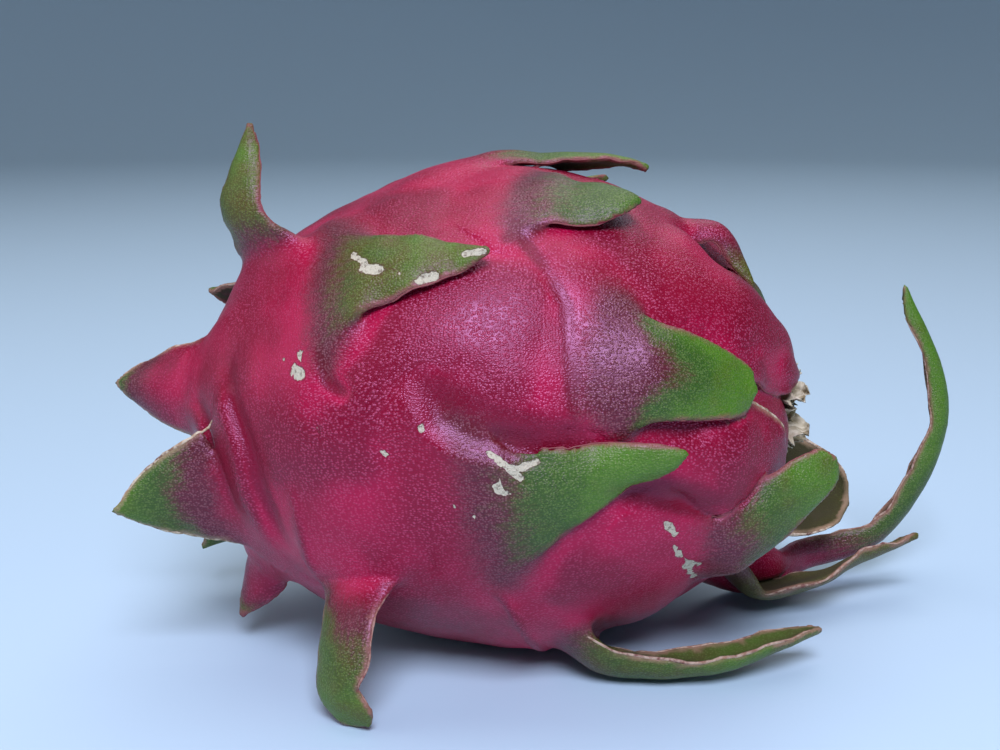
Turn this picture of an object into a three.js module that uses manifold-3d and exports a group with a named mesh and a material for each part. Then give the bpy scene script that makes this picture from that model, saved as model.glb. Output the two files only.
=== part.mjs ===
// A dragon fruit (pitaya) as picked, lying on its side on a level surface.
// Units are millimetres and degrees. +X runs along the fruit from the stem end to the flower end, +Z is up,
// and the origin is the middle of the small flat spot that the fruit rests on.
//
// The skin is one ovoid with soft swellings. Its scales are fleshy blades that grow out of the skin: each is
// swept from a wide root sunk in the flesh to its free tip, and they are fused with the body into one solid.
// The withered flower sits loose in the hollow at the flower end and is a piece of its own.
import * as THREE from "three";
import { mergeVertices } from "three/addons/utils/BufferGeometryUtils.js";
import Module from "manifold-3d";

const wasm = await Module();
wasm.setup();

// ---- driving dimensions ----

const bodyLength = 114; // skin to skin along the axis, without the scales
const bodyDiameter = 91;
const restingDent = 1.2; // how far the fruit's weight flattens its underside
const stemHollow = { radius: 13, depth: 6 };
const flowerHollow = { radius: 20, depth: 8 };

const bladeThickness = 2.4; // a scale along its midrib, half way out
const edgeThickness = 0.9; // a scale along its margins
const rootThickness = { middle: 7, edge: 5.5 }; // a scale where it leaves the flesh
const rootCover = 0.4; // flesh over the very start of a scale
const bladeClearance = 0.7; // the least gap between the skin and a scale that lies along it
const flareReach = 0.45; // share of a scale's length over which its wide root narrows

const aroundSteps = 44; // facets round the body
const alongSteps = 30; // facets from one end of the body to the other
const bladeSteps = 11; // stations along a scale
const bladeRibs = [-1, -0.5, 0, 0.5, 1]; // lines along a scale, from margin to margin

const halfLength = bodyLength / 2;
const bodyRadius = bodyDiameter / 2;
const axisHeight = bodyRadius - restingDent;

// Soft swellings of the flesh between the scales. along is measured from the middle of the fruit, around
// from the top over the front (90) and the underside (180) to the back (270).
const swellings = [
  { along: -6, around: 62, height: 1.6, reach: 15 },
  { along: -30, around: 84, height: 1.2, reach: 16 },
  { along: 26, around: 40, height: 0.6, reach: 15 },
  { along: 34, around: 92, height: 1.0, reach: 12 },
  { along: 12, around: 122, height: 1.2, reach: 13 },
  { along: -30, around: 8, height: -2.2, reach: 17 },
  { along: 0, around: 8, height: -0.8, reach: 20 },
  { along: 43, around: 4, height: -5, reach: 20 },
  { along: 48, around: 62, height: -2.2, reach: 14 },
  { along: -8, around: 205, height: 1.2, reach: 16 },
  { along: 22, around: 250, height: 1.5, reach: 16 },
  { along: -20, around: 275, height: 1.5, reach: 17 },
  { along: 6, around: 315, height: 1.5, reach: 16 },
];

// Every scale: where its root sits on the skin (along, around), where its tip ends (x, y, z), and how it gets
// there. over places a tip above a spot of the skin instead (along, around, height). rise is the angle at
// which a scale leaves the skin, curl how far its tip turns outward, via lists places that its midrib passes,
// wide and flare are the widths of its blade and of its root, cup is the half angle of its hollow, point how
// slowly its sides close to the tip, roll how far its face turns, and lift its clearance from the skin.
const scales = [
  // front, lying along the skin to the flower end
  {
    root: [12.5, 68], tip: [43, -31.5, 54.2],
    rise: 4, curl: -12, wide: 14.5, flare: 31, cup: 20, point: 0.28, lift: 1.8,
  },
  {
    root: [-9, 100.5], tip: [29.5, -46, 47.3],
    rise: 5, curl: -8, wide: 17.5, flare: 34, cup: 20, point: 0.62,
  },
  { root: [-33, 46], tip: [-2, -36, 78.5], rise: 6, curl: -12, wide: 15, flare: 32, cup: 25, point: 0.85 },
  { root: [-1, 22], tip: [23.5, -22, 85], rise: 14, curl: -30, wide: 18, flare: 32, cup: 35, point: 0.45 },
  { root: [-15, -12], tip: [28, 8, 88.5], rise: 15, curl: -24, wide: 13, flare: 24, cup: 30, point: 0.8 },
  {
    root: [22, 6], via: [[33.5, 1, 78.5], [41.5, 1, 77.2]], tip: [47, -3, 67.5],
    rise: 8, wide: 11, flare: 20, cup: 55, point: 0.8,
  },
  {
    root: [33, 44], tip: [54, -13, 52.5],
    rise: 2, curl: -26, wide: 23, flare: 30, cup: 45, point: 0.4, lift: 0.3,
  },
  {
    root: [30, 97], tip: [48.6, -22.5, 38],
    rise: 3, curl: -16, wide: 25, flare: 30, cup: 35, point: 0.28, lift: 0.3,
  },
  {
    root: [24, 122], via: [[40, -33, 27], [49.5, -30.5, 34.5]], tip: [58, -27.5, 41.2],
    rise: 3, wide: 13, flare: 38, cup: 18, point: 0.3, roll: -28,
  },
  // underside of the flower end, long and curling
  {
    root: [2, 146], via: [[18, -28.5, 3.2], [36, -29, 2.4]], tip: [58.4, -22.2, 7.2],
    rise: 5, wide: 13, flare: 26, cup: 60, point: 0.5, roll: 34,
  },
  {
    root: [38, 162],
    via: [[53, 9, 4.6], [64, 18, 4.6], [80, 21, 9], [91.3, 22, 26], [92.8, 23, 41]], tip: [83.5, 24, 62.5],
    rise: 5, wide: 12, flare: 20, cup: 80, point: 0.45, roll: 26,
  },
  {
    root: [36, 184], via: [[51, 2.5, 4.4], [62, 4, 5.4], [73, 7.5, 9.4]], tip: [85.5, 11, 13.2],
    rise: 5, wide: 14, flare: 26, cup: 25, point: 0.8, roll: -48,
  },
  { root: [42, 226], tip: [70.5, 10, 20.5], rise: 4, curl: -5, wide: 26, flare: 28, cup: 45, point: 0.35 },
  // stem end, turned outward and back
  {
    root: [-42, 30], via: [[-45.5, -14, 82]], tip: [-44, -9, 97],
    rise: 45, wide: 11, flare: 20, cup: 15, point: 0.85, roll: 25,
  },
  { root: [-50, 70], tip: [-71, -6, 49.5], rise: 30, curl: 10, wide: 19, flare: 22, cup: 25, point: 0.85 },
  {
    root: [-42, 106], tip: [-67, -27, 31.5],
    rise: 30, curl: 12, wide: 22, flare: 38, cup: 12, point: 0.95,
  },
  { root: [-44, 140], tip: [-48.5, -12, 6], rise: 30, curl: 10, wide: 12, flare: 18, cup: 20, point: 0.95 },
  {
    root: [-28, 108], via: [[-26, -44.5, 14], [-27, -46.5, 6.5]], tip: [-21.5, -47.6, 1.6],
    rise: 8, wide: 12, flare: 30, cup: 14, point: 0.3,
  },
  // stem end, back
  { root: [-46, 190], tip: [-61, 13, 10.5], rise: 30, curl: 10, wide: 13, flare: 20, cup: 20, point: 0.95 },
  { root: [-44, 318], tip: [-58, 18, 63], rise: 35, curl: 10, wide: 13, flare: 20, cup: 20, point: 0.95 },
  { root: [-40, 262], tip: [-66, 33, 40], rise: 30, curl: 8, wide: 18, flare: 28, cup: 15, point: 0.95 },
  // back, lying along the skin
  { root: [16, 302], over: [48, 296, 6], rise: 6, curl: -8, wide: 20, flare: 34, cup: 25, point: 0.6 },
  { root: [-18, 318], over: [20, 326, 6], rise: 8, curl: -6, wide: 18, flare: 34, cup: 25, point: 0.8 },
  { root: [-14, 272], over: [26, 268, 7], rise: 6, curl: -4, wide: 20, flare: 38, cup: 22, point: 0.8 },
  { root: [18, 250], over: [50, 240, 6], rise: 6, curl: -6, wide: 19, flare: 34, cup: 25, point: 0.6 },
  { root: [-8, 226], over: [32, 218, 6], rise: 8, curl: 4, wide: 18, flare: 34, cup: 25, point: 0.8 },
  { root: [-36, 288], over: [-4, 296, 7], rise: 8, curl: -2, wide: 16, flare: 30, cup: 22, point: 0.85 },
  { root: [-34, 228], over: [-4, 214, 5], rise: 8, curl: 4, wide: 16, flare: 30, cup: 22, point: 0.85 },
  { root: [30, 334], tip: [53, 16, 60], rise: 4, curl: -30, wide: 22, flare: 30, cup: 45, point: 0.5 },
  { root: [36, 284], tip: [57, 24, 41], rise: 4, curl: -20, wide: 22, flare: 30, cup: 40, point: 0.5 },
];

// The withered flower: what is left of the petals, dried to a crumpled tuft.
const flowerTuft = {
  baseRadius: 6, throatRadius: 4.5, mouthRadius: 9, length: 6, folds: 5, lean: 6, gap: 0.3,
};

// ---- small helpers ----

const radians = THREE.MathUtils.degToRad;
const vector = (x, y, z) => new THREE.Vector3(x, y, z);
const smooth = (low, high, x) => THREE.MathUtils.smoothstep(x, low, high);

/** A closed surface from rings of points, each ring the same length, with a point closing either end. */
function closedLoft(rings, startPoint, endPoint) {
  const count = rings[0].length;
  const points = [...rings.flat(), startPoint, endPoint];
  const start = points.length - 2;
  const end = points.length - 1;
  const lastRing = (rings.length - 1) * count;
  const faces = [];
  for (let i = 0; i < count; i++) {
    const j = (i + 1) % count;
    faces.push(start, j, i, end, lastRing + i, lastRing + j);
    for (let ring = 0; ring < lastRing; ring += count) {
      faces.push(ring + i, ring + j, ring + count + j, ring + i, ring + count + j, ring + count + i);
    }
  }
  const geometry = new THREE.BufferGeometry().setFromPoints(points);
  geometry.setIndex(faces);
  return geometry;
}

function toSolid(geometry) {
  const merged = mergeVertices(geometry, 1e-4);
  return new wasm.Manifold(
    new wasm.Mesh({
      numProp: 3,
      vertProperties: merged.attributes.position.array,
      triVerts: new Uint32Array(merged.index.array),
    }),
  );
}

function toGeometry(solid) {
  const mesh = solid.getMesh();
  const geometry = new THREE.BufferGeometry();
  geometry.setAttribute("position", new THREE.BufferAttribute(mesh.vertProperties, 3));
  geometry.setIndex(new THREE.BufferAttribute(mesh.triVerts, 1));
  geometry.computeVertexNormals();
  return geometry;
}

/** The outer skin of the largest piece of a solid: loose scraps and sealed hollows are gone. */
function wholePiece(solid) {
  return solid.decompose().reduce((best, piece) => (piece.volume() > best.volume() ? piece : best));
}

// ---- the body ----

/** How far the flesh swells out of the plain ovoid. */
function swelling(along, around) {
  let height = 0;
  for (const lump of swellings) {
    const turn = THREE.MathUtils.euclideanModulo(around - lump.around + 180, 360) - 180;
    const away = Math.hypot(along - lump.along, radians(turn) * bodyRadius) / lump.reach;
    height += lump.height * Math.exp(-away * away);
  }
  return height;
}

/** A point of the ovoid and its outward normal, before the end hollows. */
function ovoid(along, radius, around) {
  const outward = vector(0, -Math.sin(radians(around)), Math.cos(radians(around)));
  const normal = vector(along / halfLength ** 2, 0, 0)
    .addScaledVector(outward, radius / bodyRadius ** 2)
    .normalize();
  return { point: vector(along, 0, axisHeight).addScaledVector(outward, radius), normal };
}

/** The skin at a distance along the axis from the fruit's middle and an angle around it. */
function skin(along, around) {
  const radius = bodyRadius * Math.sqrt(1 - (along / halfLength) ** 2);
  const { point, normal } = ovoid(along, radius, around);
  point.addScaledVector(normal, swelling(along, around));
  return { point, normal };
}

/** How deep an end's hollow is at a distance from the axis. */
function hollowDepth(hollow, radius) {
  const share = Math.min(radius / hollow.radius, 1);
  return hollow.depth * (1 - share * share) ** 2;
}

function bodySolid() {
  const rings = [];
  for (let i = 1; i < alongSteps; i++) {
    const angle = (Math.PI * i) / alongSteps;
    const along = -halfLength * Math.cos(angle);
    const radius = bodyRadius * Math.sin(angle);
    const stemEnd = hollowDepth(stemHollow, radius) * (along < 0);
    const inward = stemEnd - hollowDepth(flowerHollow, radius) * (along > 0);
    const ring = [];
    for (let j = 0; j < aroundSteps; j++) {
      const around = (360 * j) / aroundSteps;
      const { point, normal } = ovoid(along, radius, around);
      point.addScaledVector(normal, swelling(along, around));
      point.x += inward;
      ring.push(point);
    }
    rings.push(ring);
  }
  const stemPole = vector(-halfLength + stemHollow.depth, 0, axisHeight);
  const flowerPole = vector(halfLength - flowerHollow.depth, 0, axisHeight);
  return toSolid(closedLoft(rings, stemPole, flowerPole));
}

// ---- the scales ----

/** The place on a scale's midrib where it starts, deep enough for its root to be covered with flesh. */
function rootStart({ point, normal }) {
  return point.clone().addScaledVector(normal, -(rootThickness.middle / 2 + rootCover));
}

/** The line that the midrib of a scale follows, before it is kept clear of the skin. */
function midribCurve({ root, tip, over, via, rise, curl }) {
  const base = skin(...root);
  const start = rootStart(base);
  const end = tip ? vector(...tip) : skin(...over).point.addScaledVector(skin(...over).normal, over[2]);
  const next = via ? vector(...via[0]) : end;
  const leaving = next.clone().sub(start).projectOnPlane(base.normal).normalize();
  leaving.multiplyScalar(Math.cos(radians(rise))).addScaledVector(base.normal, Math.sin(radians(rise)));
  if (via) {
    const bend = start.clone().addScaledVector(leaving, 0.4 * start.distanceTo(next));
    return new THREE.CatmullRomCurve3([start, bend, ...via.map((p) => vector(...p)), end]);
  }
  const straight = end.clone().sub(start);
  const outward = base.normal.clone().projectOnPlane(straight).normalize();
  const arriving = straight.clone().normalize().multiplyScalar(Math.cos(radians(curl)));
  arriving.addScaledVector(outward, Math.sin(radians(curl)));
  const third = straight.length() / 3;
  return new THREE.CubicBezierCurve3(
    start,
    start.clone().addScaledVector(leaving, third),
    end.clone().addScaledVector(arriving, -third),
    end,
  );
}

/** Moves a point out along the skin's normal until it is at least a height above the skin. */
function keepAbove(point, height) {
  for (let pass = 0; pass < 3; pass++) {
    const along = THREE.MathUtils.clamp(point.x, 1 - halfLength, halfLength - 1);
    const around = THREE.MathUtils.radToDeg(Math.atan2(-point.y, point.z - axisHeight));
    const { point: foot, normal } = skin(along, around);
    const above = point.clone().sub(foot).dot(normal);
    if (above < height) point.addScaledVector(normal, height - above);
  }
  return point;
}

/** The stations of a scale: where its midrib is, the way it runs and the way its outer face looks. */
function stations(scale) {
  const curve = midribCurve(scale);
  const turn = radians(scale.roll ?? 0);
  let face = skin(...scale.root).normal;
  return Array.from({ length: bladeSteps + 1 }, (_, i) => {
    const s = i / bladeSteps;
    const heading = curve.getTangentAt(s);
    face = face.clone().projectOnPlane(heading).normalize();
    return { s, centre: curve.getPointAt(s), heading, face: face.clone().applyAxisAngle(heading, turn * s) };
  });
}

/** Half the width of a scale at s, from 0 at its root to 1 at its tip. */
function halfWidth({ wide, flare, point }, s) {
  const blade = (1 - s ** 2.4) ** point;
  const spread = Math.max(1 - s / flareReach, 0) ** 2;
  return Math.max((wide * blade + (flare - wide) * spread) / 2, 0.6);
}

function scaleSolid(scale) {
  const lift = scale.lift ?? bladeClearance;
  const rings = stations(scale).map(({ s, centre, heading, face }) => {
    const side = heading.clone().cross(face);
    const half = halfWidth(scale, s);
    const leaving = smooth(0, flareReach, s);
    const bend = THREE.MathUtils.lerp(half / bodyRadius, radians(scale.cup), leaving);
    const middle = THREE.MathUtils.lerp(rootThickness.middle, bladeThickness, leaving) * (1 - 0.35 * s * s);
    const edge = THREE.MathUtils.lerp(rootThickness.edge, edgeThickness, leaving);
    const outer = [];
    const inner = [];
    for (const v of bladeRibs) {
      const out = face.clone().applyAxisAngle(heading, -bend * v);
      const depth = THREE.MathUtils.lerp(middle, edge, v * v) / 2;
      const mid = centre
        .clone()
        .addScaledVector(side, (half / bend) * Math.sin(bend * v))
        .addScaledVector(face, (half / bend) * (Math.cos(bend * v) - 1));
      keepAbove(mid, THREE.MathUtils.lerp(-rootThickness.middle / 2 - rootCover, depth + lift, leaving));
      outer.push(mid.clone().addScaledVector(out, depth));
      inner.unshift(mid.clone().addScaledVector(out, -depth));
    }
    return [...outer, ...inner];
  });
  const middleOf = (ring) => ring.reduce((sum, p) => sum.add(p), vector(0, 0, 0)).divideScalar(ring.length);
  return toSolid(closedLoft(rings, middleOf(rings[0]), middleOf(rings[bladeSteps])));
}

// ---- assembly ----

/** A block that fills the space under the surface that the fruit lies on. */
function underTheSurface() {
  const block = new THREE.BoxGeometry(400, 400, 100).deleteAttribute("normal").deleteAttribute("uv");
  block.translate(0, 0, -50);
  return toSolid(block);
}

function fruitGeometry() {
  let flesh = bodySolid();
  for (const scale of scales) flesh = flesh.add(scaleSolid(scale));
  return toGeometry(wholePiece(flesh.subtract(underTheSurface())));
}

/** The withered flower: a tube on the floor of the hollow, pinched, then flared into dry folds. */
function driedFlowerGeometry() {
  const { baseRadius, throatRadius, mouthRadius, length, folds, lean, gap } = flowerTuft;
  const floor = halfLength - flowerHollow.depth + gap;
  const steps = 7;
  const sides = folds * 4;
  const rings = [];
  for (let i = 0; i <= steps; i++) {
    const t = i / steps;
    const radius = THREE.MathUtils.lerp(
      THREE.MathUtils.lerp(baseRadius, throatRadius, smooth(0, 0.4, t)),
      mouthRadius,
      smooth(0.4, 1, t),
    );
    rings.push(
      Array.from({ length: sides }, (_, j) => {
        const angle = (2 * Math.PI * j) / sides;
        const fold = Math.cos(folds * angle + 1.4 * t);
        const reach = radius * (1 + (0.08 + 0.24 * t) * fold);
        const ragged = t * t * (1.0 * fold + 0.8 * Math.sin(2 * angle + 0.6));
        const along = floor + hollowRise(reach) * (1 - t) + t * (length - 2) + ragged;
        return vector(along, -reach * Math.sin(angle) - lean * t * t, axisHeight + reach * Math.cos(angle));
      }),
    );
  }
  const inside = vector(floor + length * 0.62, -lean * 0.5, axisHeight);
  return toGeometry(wholePiece(toSolid(closedLoft(rings, vector(floor, 0, axisHeight), inside))));
}

/** How much further out the hollow's floor is at a distance from the axis than at its middle. */
function hollowRise(radius) {
  const skinThere = halfLength * Math.sqrt(1 - (radius / bodyRadius) ** 2);
  return flowerHollow.depth - (halfLength - skinThere) - hollowDepth(flowerHollow, radius);
}

const peel = new THREE.MeshStandardMaterial({ color: 0xb3245a, roughness: 0.5, metalness: 0 });
const driedPetals = new THREE.MeshStandardMaterial({ color: 0x9c9176, roughness: 0.9, metalness: 0 });

const dragonFruit = new THREE.Group();
const fruit = new THREE.Mesh(fruitGeometry(), peel);
fruit.name = "fruit";
dragonFruit.add(fruit);

const driedFlower = new THREE.Mesh(driedFlowerGeometry(), driedPetals);
driedFlower.name = "dried_flower";
dragonFruit.add(driedFlower);

export default dragonFruit;
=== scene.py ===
import math
import time
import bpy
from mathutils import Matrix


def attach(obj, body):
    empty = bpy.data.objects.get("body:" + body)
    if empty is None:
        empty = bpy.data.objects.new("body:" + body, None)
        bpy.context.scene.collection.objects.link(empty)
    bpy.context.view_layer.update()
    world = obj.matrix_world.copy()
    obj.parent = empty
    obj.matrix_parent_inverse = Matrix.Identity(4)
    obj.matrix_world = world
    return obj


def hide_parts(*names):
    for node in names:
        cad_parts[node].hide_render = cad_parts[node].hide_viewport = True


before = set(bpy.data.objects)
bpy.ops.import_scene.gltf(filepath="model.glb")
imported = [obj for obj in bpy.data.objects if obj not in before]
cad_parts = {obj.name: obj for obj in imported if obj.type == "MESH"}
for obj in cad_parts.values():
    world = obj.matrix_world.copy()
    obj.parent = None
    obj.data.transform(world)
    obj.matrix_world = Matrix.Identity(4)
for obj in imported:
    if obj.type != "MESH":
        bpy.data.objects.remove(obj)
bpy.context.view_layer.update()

from types import SimpleNamespace

import bpy
import numpy as np
import openvdb
from mathutils import Matrix, Vector, noise
from mathutils.bvhtree import BVHTree

mm = 0.001  # every length below is in millimetres until a mesh is made

# the ovoid, its hollows and its swellings, and the scales below, have the values of the solid

fruitForm = {
    "length": 114, "diameter": 91, "restingDent": 1.2,
    "stemHollow": (13, 6), "flowerHollow": (20, 8),  # radius, depth
    "swellings": [  # along, around, height, reach
        (-6, 62, 1.6, 15), (-30, 84, 1.2, 16), (26, 40, 0.6, 15), (34, 92, 1.0, 12), (12, 122, 1.2, 13),
        (-30, 8, -2.2, 17), (0, 8, -0.8, 20), (43, 4, -5, 20), (48, 62, -2.2, 14), (-8, 205, 1.2, 16),
        (22, 250, 1.5, 16), (-20, 275, 1.5, 17), (6, 315, 1.5, 16),
    ],
    "creases": [  # depth (a ridge where it is negative), width, then along and around of each point
        (0.7, 1.5, [(8, 48), (11, 56), (12, 86)]),
        (0.5, 1.6, [(0, 42), (3, 38), (9, 50)]),
        (0.3, 5.0, [(-13, 72), (-3, 80), (19, 87)]),
        (0.25, 3.5, [(14, 92), (42, 104)]),
        (1.3, 2.2, [(-13, 69), (-9, 79), (-3, 83), (7, 85)]),
        (1.3, 1.9, [(-47, 54), (-45.5, 74), (-42, 90), (-40, 105), (-36, 122)]),
        (-1.1, 2.3, [(-50, 60), (-48.5, 76), (-45.5, 92), (-43.5, 108), (-40, 126)]),
        (1.2, 1.5, [(-53, 70), (-51, 86), (-48, 101), (-44.5, 118)]),
        (-0.8, 1.6, [(-55, 78), (-53, 92), (-50, 108)]),
        (-0.6, 1.0, [(-16, 74), (-13, 81), (-9, 86), (-3, 88), (5, 89)]),
        (0.9, 1.5, [(-29, 58), (-28, 71), (-24, 75)]),
        (-0.9, 1.1, [(-35, 98), (-33, 119), (-31, 128)]),
        (1.3, 2.4, [(20, 95), (30, 101), (38, 108)]),
        (-1.4, 1.2, [(-1, 117), (2, 124), (6, 140), (10, 158)]),
        (1.2, 1.4, [(18, 282), (14, 302), (19, 322)]),
        (1.1, 1.5, [(20, 232), (16, 250), (20, 268)]),
        (0.9, 1.6, [(-12, 296), (-19, 318), (-18, 330)]),
        (1.2, 1.5, [(-46, 20), (-48, 0), (-42, 322)]),
        (1.1, 1.5, [(-44, 240), (-42, 275), (-44, 292)]),
    ],
}

# root: along and around; tip: x, y, z; over: along, around, height above the skin.
# green: how far along a scale the green starts; span: how long the change takes.
# slim: the width and the reach of the flare where a blade is cut closer than its solid.
scales = [
    dict(name="cheek", root=(12.5, 68), tip=(43, -31.5, 54.2), rise=4, curl=-12, wide=14.5, flare=31,
         cup=20, point=0.28, lift=1.8, green=0.53, span=0.2, blush=-0.05, edge=0.5),
    dict(name="belly", root=(-9, 100.5), tip=(29.5, -46, 47.3), rise=5, curl=-8, wide=17.5, flare=34,
         cup=20, point=0.62, green=0.3, span=0.2, blush=-0.02, skew=0.05, edge=0.08, slim=(13.5, 0.7)),
    dict(name="brow", root=(-33, 46), tip=(-2, -36, 78.5), rise=6, curl=-12, wide=15, flare=32, cup=25,
         point=0.85, green=0.27, span=0.25, blush=-0.05, olive=0.55),
    dict(name="crown", root=(-1, 22), tip=(23.5, -22, 85), rise=14, curl=-30, wide=18, flare=32, cup=35,
         point=0.45, green=0.47, span=0.42, blush=0.12),
    dict(name="ridge", root=(-15, -12), tip=(28, 8, 88.5), rise=15, curl=-24, wide=13, flare=24, cup=30,
         point=0.8, green=0.42, span=0.25, blush=0.5, olive=0.3, inside=0.9),
    dict(name="arch", root=(22, 6), via=[(33.5, 1, 78.5), (41.5, 1, 77.2)], tip=(47, -3, 67.5), rise=8,
         wide=11, flare=20, cup=55, point=0.8, green=0.88, span=0.12, blush=0.75, inside=1, olive=0.8),
    dict(name="shoulder", root=(33, 44), tip=(54, -13, 52.5), rise=2, curl=-26, wide=23, flare=30, cup=45,
         point=0.4, lift=0.3, green=1.6, span=0.4, blush=1.2),
    dict(name="lip", root=(30, 97), tip=(48.6, -22.5, 38), rise=3, curl=-16, wide=25, flare=30, cup=35,
         point=0.28, lift=0.3, green=1.6, span=0.4, blush=1.5, dry=0.9),
    dict(name="sweep", root=(24, 122), via=[(40, -33, 27), (49.5, -30.5, 34.5)], tip=(58, -27.5, 41.2),
         rise=3, wide=13, flare=38, cup=18, point=0.3, roll=-28, green=0.56, span=0.18, blush=0.3,
         olive=0.3),
    dict(name="runner", root=(2, 146), via=[(18, -28.5, 3.2), (36, -29, 2.4)], tip=(58.4, -22.2, 7.2),
         rise=5, wide=13, flare=26, cup=60, point=0.5, roll=34, green=0.3, span=0.2, blush=0.16, olive=0.45,
         inside=1.1, dry=0.7, rimFrom=0.1),
    dict(name="horn", root=(38, 162),
         via=[(53, 9, 4.6), (64, 18, 4.6), (80, 21, 9), (91.3, 22, 26), (92.8, 23, 41)],
         tip=(83.5, 24, 62.5), rise=5, wide=12, flare=20, cup=80, point=0.45, roll=26, green=0.53,
         span=0.15, blush=0.42, olive=0.2, inside=1, dry=0.6),
    # the shade scale's high inside and olive make it dark olive: painted shade, for it lies in shadow under
    # the horn
    dict(name="shade", root=(36, 184), via=[(51, 2.5, 4.4), (62, 4, 5.4), (73, 7.5, 9.4)],
         tip=(85.5, 11, 13.2), rise=5, wide=14, flare=26, cup=25, point=0.8, roll=-48, green=0.3, span=0.2,
         blush=0.1, olive=0.8, inside=1.2, dry=0.6),
    dict(name="flap", root=(42, 226), tip=(70.5, 10, 20.5), rise=4, curl=-5, wide=26, flare=28, cup=45,
         point=0.35, green=0.6, span=0.3, blush=0, olive=0.8, inside=1, dry=1),
    dict(name="spire", root=(-42, 30), via=[(-45.5, -14, 82)], tip=(-44, -9, 97), rise=45, wide=11,
         flare=20, cup=15, point=0.85, roll=25, green=0.42, span=0.22, blush=0.3, olive=0.6, inside=0.2),
    dict(name="ear", root=(-50, 70), tip=(-71, -6, 49.5), rise=30, curl=10, wide=19, flare=22, cup=25,
         point=0.85, green=0.97, span=0.1, blush=0.75, inside=0, dry=0.7),
    dict(name="fin", root=(-42, 106), tip=(-67, -27, 31.5), rise=30, curl=12, wide=22, flare=38, cup=12,
         point=0.95, green=0.68, span=0.2, blush=0.36, inside=0.2, dry=1, rimFrom=0.15, edge=0.2),
    dict(name="spur", root=(-44, 140), tip=(-48.5, -12, 6), rise=30, curl=10, wide=12, flare=18, cup=20,
         point=0.95, green=0.92, span=0.12, blush=0.8, olive=0.6, inside=0.2),
    dict(name="foot", root=(-28, 108), via=[(-26, -44.5, 14), (-27, -46.5, 6.5)], tip=(-21.5, -47.6, 1.6),
         rise=8, wide=12, flare=30, cup=14, point=0.3, green=0.6, span=0.16, blush=0.42, skew=0.13,
         olive=0.45, dry=0.35, inside=0.2),
    dict(name="heel", root=(-46, 190), tip=(-61, 13, 10.5), rise=30, curl=10, wide=13, flare=20, cup=20,
         point=0.95, green=0.6, span=0.3, blush=0.3, dry=0.5),
    dict(name="nape", root=(-44, 318), tip=(-58, 18, 63), rise=35, curl=10, wide=13, flare=20, cup=20,
         point=0.95, green=0.6, span=0.3, blush=0.3, dry=0.5),
    dict(name="tail", root=(-40, 262), tip=(-66, 33, 40), rise=30, curl=8, wide=18, flare=28, cup=15,
         point=0.95, green=0.6, span=0.3, blush=0.3, dry=0.8),
    dict(name="backCheek", root=(16, 302), over=(48, 296, 6), rise=6, curl=-8, wide=20, flare=34, cup=25,
         point=0.6, green=0.5, span=0.2, blush=-0.1),
    dict(name="backCrown", root=(-18, 318), over=(20, 326, 6), rise=8, curl=-6, wide=18, flare=34, cup=25,
         point=0.8, green=0.4, span=0.2, blush=0),
    dict(name="backBelly", root=(-14, 272), over=(26, 268, 7), rise=6, curl=-4, wide=20, flare=38, cup=22,
         point=0.8, green=0.34, span=0.2, blush=-0.1),
    dict(name="backSweep", root=(18, 250), over=(50, 240, 6), rise=6, curl=-6, wide=19, flare=34, cup=25,
         point=0.6, green=0.55, span=0.2, blush=0.2),
    dict(name="backRunner", root=(-8, 226), over=(32, 218, 6), rise=8, curl=4, wide=18, flare=34, cup=25,
         point=0.8, green=0.45, span=0.22, blush=0.1, olive=0.4),
    dict(name="backBrow", root=(-36, 288), over=(-4, 296, 7), rise=8, curl=-2, wide=16, flare=30, cup=22,
         point=0.85, green=0.35, span=0.22, blush=-0.1),
    dict(name="backFoot", root=(-34, 228), over=(-4, 214, 5), rise=8, curl=4, wide=16, flare=30, cup=22,
         point=0.85, green=0.45, span=0.22, blush=0.1, dry=0.5),
    dict(name="backShoulder", root=(30, 334), tip=(53, 16, 60), rise=4, curl=-30, wide=22, flare=30, cup=45,
         point=0.5, green=0.9, span=0.3, blush=0.5),
    dict(name="backLip", root=(36, 284), tip=(57, 24, 41), rise=4, curl=-20, wide=22, flare=30, cup=40,
         point=0.5, green=0.95, span=0.3, blush=0.6, dry=0.6),
]

bladeForm = {
    "thickness": 2.4, "edge": 0.9, "rootMiddle": 7.0, "rootEdge": 5.5, "cover": 0.4, "clearance": 0.7,
    "thinning": 0.35, "flareReach": 0.45, "stations": 44, "ribs": 19, "ripple": 1.2,
}
rootDepth = bladeForm["rootMiddle"] / 2 + bladeForm["cover"]

halfLength = fruitForm["length"] / 2
bodyRadius = fruitForm["diameter"] / 2
axisHeight = bodyRadius - fruitForm["restingDent"]


def smoothStep(low, high, x):
    t = np.clip((np.asarray(x, float) - low) / (high - low), 0, 1)
    return t * t * (3 - 2 * t)


def mix(a, b, t):
    return a + (b - a) * t


def unit(v):
    return v / np.linalg.norm(v, axis=-1, keepdims=True)


def reliefOf(along, around):  # how far the flesh stands out of the plain ovoid
    height = np.zeros(np.broadcast(along, around).shape)
    for lumpAlong, lumpAround, lumpHeight, reach in fruitForm["swellings"]:
        turn = (around - lumpAround + 180) % 360 - 180
        away = (along - lumpAlong) ** 2 + (np.radians(turn) * bodyRadius) ** 2
        height += lumpHeight * np.exp(-away / reach**2)
    return height


def aroundOf(y, z):  # degrees round the body's axis, for places that are measured from it
    return np.degrees(np.arctan2(-y, z)) % 360


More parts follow.
